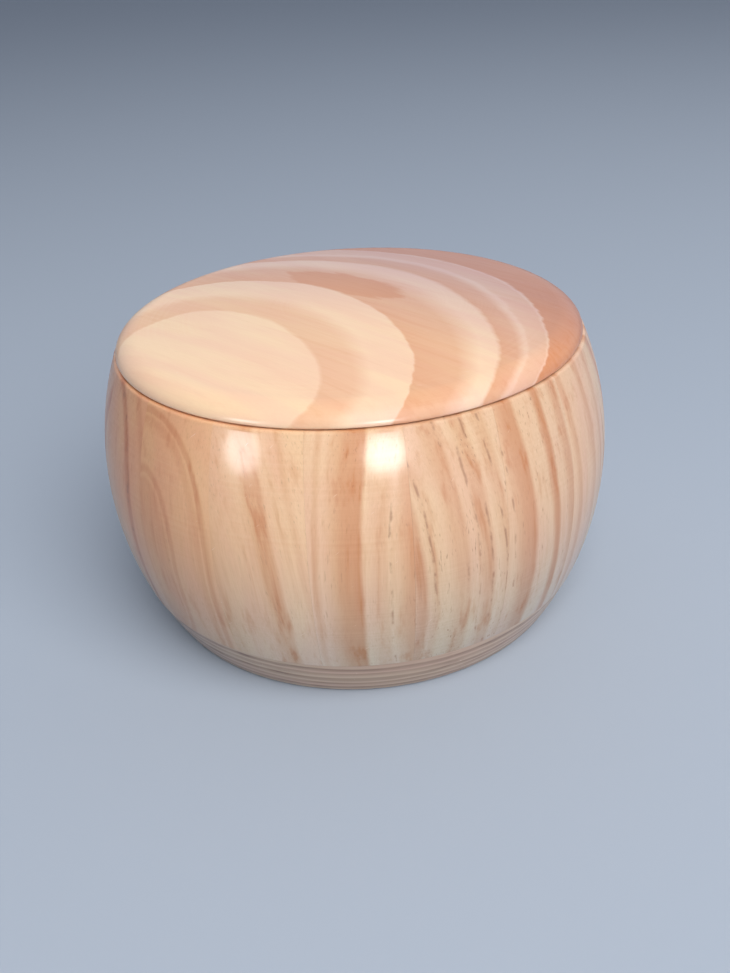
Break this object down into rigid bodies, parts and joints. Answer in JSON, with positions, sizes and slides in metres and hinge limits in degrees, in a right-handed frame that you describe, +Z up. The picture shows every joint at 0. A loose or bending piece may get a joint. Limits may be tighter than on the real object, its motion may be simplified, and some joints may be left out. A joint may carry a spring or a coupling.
{
  "type": "go stone bowl",
  "caption": "Round bulging wooden bowl for go stones, glued up from upright staves on a base disc and turned, with a lift-off domed lid.",
  "frame": {"origin": "centre of the foot, on the surface the bowl stands on", "axes": "+Z up along the bowl's axis; -Y is the front, the middle of stave_01"},
  "size_m": [0.14, 0.14, 0.0849],
  "materials": {
    "stave_wood": "pale pine, upright grain, semi-gloss clear lacquer",
    "base_wood": "pale pine, grain lying level, semi-gloss clear lacquer",
    "lid_wood": "pale flat-sawn pine board, semi-gloss clear lacquer"
  },
  "bodies": {
    "bowl": {"stave_01": "stave_wood", "stave_02": "stave_wood", "stave_03": "stave_wood", "stave_04": "stave_wood", "stave_05": "stave_wood", "stave_06": "stave_wood", "stave_07": "stave_wood", "stave_08": "stave_wood", "stave_09": "stave_wood", "stave_10": "stave_wood", "stave_11": "stave_wood", "stave_12": "stave_wood", "stave_13": "stave_wood", "stave_14": "stave_wood", "stave_15": "stave_wood", "stave_16": "stave_wood", "stave_17": "stave_wood", "stave_18": "stave_wood", "base_disc": "base_wood"},
    "lid": {"lid": "lid_wood"}
  },
  "joints": [
    {"name": "lid_lift", "type": "slide", "parent": "bowl", "child": "lid", "axis": [0, 0, 1], "range_m": [0, 0.08]}
  ]
}
